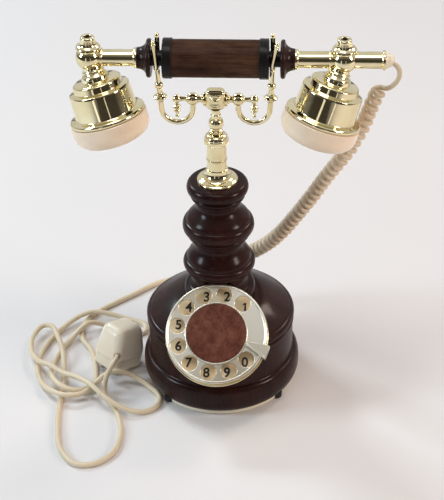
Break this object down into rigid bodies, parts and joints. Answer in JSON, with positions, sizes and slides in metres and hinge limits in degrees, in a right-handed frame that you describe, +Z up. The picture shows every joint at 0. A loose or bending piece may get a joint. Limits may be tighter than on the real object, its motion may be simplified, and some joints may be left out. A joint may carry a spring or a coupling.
{
  "type": "rotary desk telephone",
  "caption": "Rotary desk telephone on a turned dark wood pedestal, with a brass cradle, a long handset with tilted cups, a slanted dial, a curly cord and a line cord with plug.",
  "frame": {"origin": "on the column axis at the standing surface, under the feet", "axes": "+Z up, -Y to the front where the dial faces, +X to the cord end of the handset"},
  "size_m": [0.2927, 0.2428, 0.3014],
  "materials": {
    "dark_wood": "dark mahogany under gloss varnish",
    "grip_wood": "brown wood, satin",
    "brass": "polished brass",
    "pale_brass": "polished pale brass",
    "steel": "plain steel",
    "black_plastic": "gloss black plastic",
    "black_rubber": "matte black rubber",
    "cream_plastic": "smooth cream plastic",
    "cord_cream": "satin cream cord sheath",
    "cord_beige": "satin beige cord sheath",
    "tan_card": "printed tan plate",
    "coil_copper": "copper winding with black flanges",
    "board": "green circuit board"
  },
  "bodies": {
    "stand": {"base_body": "dark_wood", "base_plate": "cream_plastic", "rubber_feet": "black_rubber", "plate_screws": "steel", "column": "dark_wood", "tie_tube": "steel", "tie_nut": "steel", "column_flange": "brass", "guide_tube": "brass", "guide_cap": "brass", "plunger_spring": "steel", "hook_bracket": "steel", "pivot_pins": "steel", "hook_contacts": "black_plastic", "ringer_frame": "steel", "ringer_coils": "coil_copper", "gongs": "pale_brass", "gong_posts": "steel", "circuit_board": "board", "handset_grommet": "cream_plastic", "line_grommet": "cream_plastic", "line_cord": "cord_beige", "plug_cover": "cream_plastic", "plug_base": "cream_plastic", "plug_pins": "steel", "handset_cord": "cord_cream", "dial_case": "brass", "number_plate": "tan_card", "finger_stop": "brass", "dial_bearing": "brass", "governor_cup": "brass", "impulse_contacts": "black_plastic"},
    "dial": {"finger_wheel": "pale_brass", "hub_disc": "grip_wood", "hub_ring": "pale_brass", "dial_shaft": "steel", "dial_gear": "brass", "dial_spring": "steel"},
    "governor": {"governor_shaft": "steel"},
    "lever": {"hook_lever": "brass"},
    "clapper": {"clapper": "steel"},
    "cradle": {"plunger_rod": "steel", "cradle_stem": "brass", "cradle_block": "brass", "cradle_arms": "brass", "pendants": "brass", "hook_left": "brass", "hook_right": "brass"},
    "handset": {"grip_sleeve": "grip_wood", "grip_core": "black_plastic", "grip_collars": "black_plastic", "bell_caps": "dark_wood", "handset_tubes": "brass", "ball_joints": "brass", "finials": "brass", "cup_shells": "brass", "ear_caps": "cream_plastic", "capsules": "steel", "cord_boot": "cream_plastic"}
  },
  "joints": [
    {"name": "dial_turn", "type": "hinge", "parent": "stand", "child": "dial", "pos_m": [0, -0.05, 0.0751], "axis": [0, 0.673, -0.7396], "range_deg": [0, 322], "stiffness_Nm_per_rad": 0.02, "springref_deg": -57.3, "deforming": ["dial_spring"]},
    {"name": "governor_spin", "type": "hinge", "parent": "stand", "child": "governor", "pos_m": [-0.01955, -0.05526, 0.07031], "axis": [0, 0.673, -0.7396], "continuous": true},
    {"name": "handset_lift", "type": "slide", "parent": "stand", "child": "handset", "axis": [0, 0, 1], "range_m": [0, 0.04], "deforming": ["handset_cord"]},
    {"name": "cradle_plunge", "type": "slide", "parent": "stand", "child": "cradle", "axis": [0, 0, 1], "range_m": [0, 0.006], "stiffness_N_per_m": 300, "springref_m": 0.012, "deforming": ["plunger_spring"]},
    {"name": "switch_lever_turn", "type": "hinge", "parent": "stand", "child": "lever", "pos_m": [0, -0.016, 0.048], "axis": [1, 0, 0], "range_deg": [0, 19.5]},
    {"name": "clapper_swing", "type": "hinge", "parent": "stand", "child": "clapper", "pos_m": [0, 0.01, 0.0223], "axis": [0, 0, 1], "range_deg": [-9, 9]}
  ],
  "couplings": [
    {"joint": "governor_spin", "follows": "dial_turn", "ratio": -3.3333},
    {"joint": "cradle_plunge", "follows": "handset_lift", "ratio": 0.15},
    {"joint": "switch_lever_turn", "follows": "handset_lift", "rad_per_m": 8.28}
  ]
}
